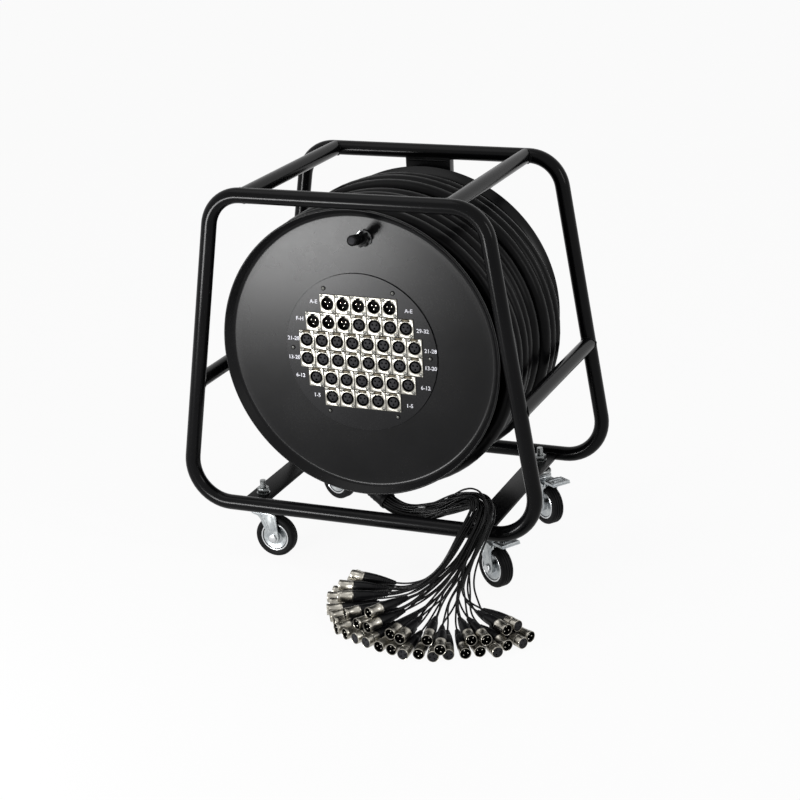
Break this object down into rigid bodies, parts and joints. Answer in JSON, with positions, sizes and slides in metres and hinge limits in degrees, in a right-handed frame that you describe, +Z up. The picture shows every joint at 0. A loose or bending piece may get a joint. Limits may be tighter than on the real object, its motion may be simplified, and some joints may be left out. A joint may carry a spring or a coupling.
{
  "type": "stage box snake",
  "caption": "Multicore cable wound on a drum that turns in a wheeled tube frame, with a round panel of sockets on the drum's flange and a fan of thin tails with plugs.",
  "frame": {"origin": "on the floor, midway between the two frame hoops and under the drum's axis", "axes": "+Z up, +Y from the connector panel to the back along the drum's axis, +X to the right of someone facing the panel"},
  "size_m": [0.6518, 0.6316, 0.6435],
  "materials": {
    "frame_coat": "semi-gloss black powder coat",
    "drum_coat": "satin black powder coat",
    "cable_jacket": "soft black cable jacket",
    "boot_rubber": "matte black moulded rubber",
    "tyre_rubber": "matte black",
    "zinc_plate": "bright zinc plate",
    "bright_steel": "bright steel",
    "nickel_plate": "satin nickel plate",
    "knob_plastic": "satin black plastic"
  },
  "bodies": {
    "frame": {"front_hoop": "frame_coat", "rear_hoop": "frame_coat", "top_cross_tube_left": "frame_coat", "top_cross_tube_right": "frame_coat", "side_cross_tube_left": "frame_coat", "side_cross_tube_right": "frame_coat", "castor_bar_left": "frame_coat", "castor_bar_right": "frame_coat", "rear_channel": "frame_coat", "spindle": "bright_steel", "spindle_rear_nut": "zinc_plate", "spindle_front_nut": "zinc_plate", "castor_stem_front_left": "zinc_plate", "castor_nut_front_left": "zinc_plate", "castor_stem_front_right": "zinc_plate", "castor_nut_front_right": "zinc_plate", "castor_stem_rear_left": "zinc_plate", "castor_nut_rear_left": "zinc_plate", "castor_stem_rear_right": "zinc_plate", "castor_nut_rear_right": "zinc_plate", "tail_strand_1": "cable_jacket", "tail_strand_2": "cable_jacket", "tail_strand_3": "cable_jacket", "tail_strand_4": "cable_jacket"},
    "drum": {"drum_hub": "drum_coat", "front_bearing": "bright_steel", "rear_bearing": "bright_steel", "front_flange": "drum_coat", "rear_flange": "drum_coat", "drum_core": "drum_coat", "connector_panel": "drum_coat", "socket_row_1": "nickel_plate", "socket_row_2": "nickel_plate", "socket_row_3": "nickel_plate", "socket_row_4": "nickel_plate", "socket_row_5": "nickel_plate", "socket_row_6": "nickel_plate", "knob_bolt": "knob_plastic", "cable_winding": "cable_jacket", "fanout_boot": "boot_rubber", "inner_cable_layers": "cable_jacket"},
    "knob": {"knob_grip": "knob_plastic"},
    "fork_front_left": {"castor_fork_front_left": "zinc_plate", "castor_axle_front_left": "bright_steel"},
    "wheel_front_left": {"wheel_hub_front_left": "bright_steel", "wheel_tyre_front_left": "tyre_rubber"},
    "fork_front_right": {"castor_fork_front_right": "zinc_plate", "castor_axle_front_right": "bright_steel"},
    "wheel_front_right": {"wheel_hub_front_right": "bright_steel", "wheel_tyre_front_right": "tyre_rubber"},
    "pedal_front_right": {"brake_pedal_front_right": "zinc_plate"},
    "fork_rear_left": {"castor_fork_rear_left": "zinc_plate", "castor_axle_rear_left": "bright_steel"},
    "wheel_rear_left": {"wheel_hub_rear_left": "bright_steel", "wheel_tyre_rear_left": "tyre_rubber"},
    "fork_rear_right": {"castor_fork_rear_right": "zinc_plate", "castor_axle_rear_right": "bright_steel"},
    "wheel_rear_right": {"wheel_hub_rear_right": "bright_steel", "wheel_tyre_rear_right": "tyre_rubber"},
    "pedal_rear_right": {"brake_pedal_rear_right": "zinc_plate"}
  },
  "joints": [
    {"name": "drum_spin", "type": "hinge", "parent": "frame", "child": "drum", "pos_m": [0, 0, 0.375], "axis": [0, 1, 0], "continuous": true},
    {"name": "knob_spin", "type": "hinge", "parent": "drum", "child": "knob", "pos_m": [0.014, -0.142, 0.563], "axis": [0.0129, -0.9848, 0.1732], "continuous": true},
    {"name": "swivel_front_left", "type": "hinge", "parent": "frame", "child": "fork_front_left", "pos_m": [-0.196, -0.135, 0.085], "axis": [0, 0, 1], "continuous": true},
    {"name": "roll_front_left", "type": "hinge", "parent": "fork_front_left", "child": "wheel_front_left", "pos_m": [-0.176, -0.135, 0.035], "axis": [0, 1, 0], "continuous": true},
    {"name": "swivel_front_right", "type": "hinge", "parent": "frame", "child": "fork_front_right", "pos_m": [0.202, -0.135, 0.085], "axis": [0, 0, 1], "continuous": true},
    {"name": "roll_front_right", "type": "hinge", "parent": "fork_front_right", "child": "wheel_front_right", "pos_m": [0.21877, -0.14589, 0.035], "axis": [0.5446, 0.8387, 0], "continuous": true},
    {"name": "brake_front_right", "type": "hinge", "parent": "fork_front_right", "child": "pedal_front_right", "pos_m": [0.22548, -0.15025, 0.076], "axis": [0.5446, 0.8387, 0], "range_deg": [0, 18]},
    {"name": "swivel_rear_left", "type": "hinge", "parent": "frame", "child": "fork_rear_left", "pos_m": [-0.196, 0.135, 0.085], "axis": [0, 0, 1], "continuous": true},
    {"name": "roll_rear_left", "type": "hinge", "parent": "fork_rear_left", "child": "wheel_rear_left", "pos_m": [-0.17746, 0.12751, 0.035], "axis": [0.3746, 0.9272, 0], "continuous": true},
    {"name": "swivel_rear_right", "type": "hinge", "parent": "frame", "child": "fork_rear_right", "pos_m": [0.202, 0.135, 0.085], "axis": [0, 0, 1], "continuous": true},
    {"name": "roll_rear_right", "type": "hinge", "parent": "fork_rear_right", "child": "wheel_rear_right", "pos_m": [0.21818, 0.12324, 0.035], "axis": [0.5878, 0.809, 0], "continuous": true},
    {"name": "brake_rear_right", "type": "hinge", "parent": "fork_rear_right", "child": "pedal_rear_right", "pos_m": [0.22465, 0.11854, 0.076], "axis": [0.5878, 0.809, 0], "range_deg": [0, 18]}
  ]
}
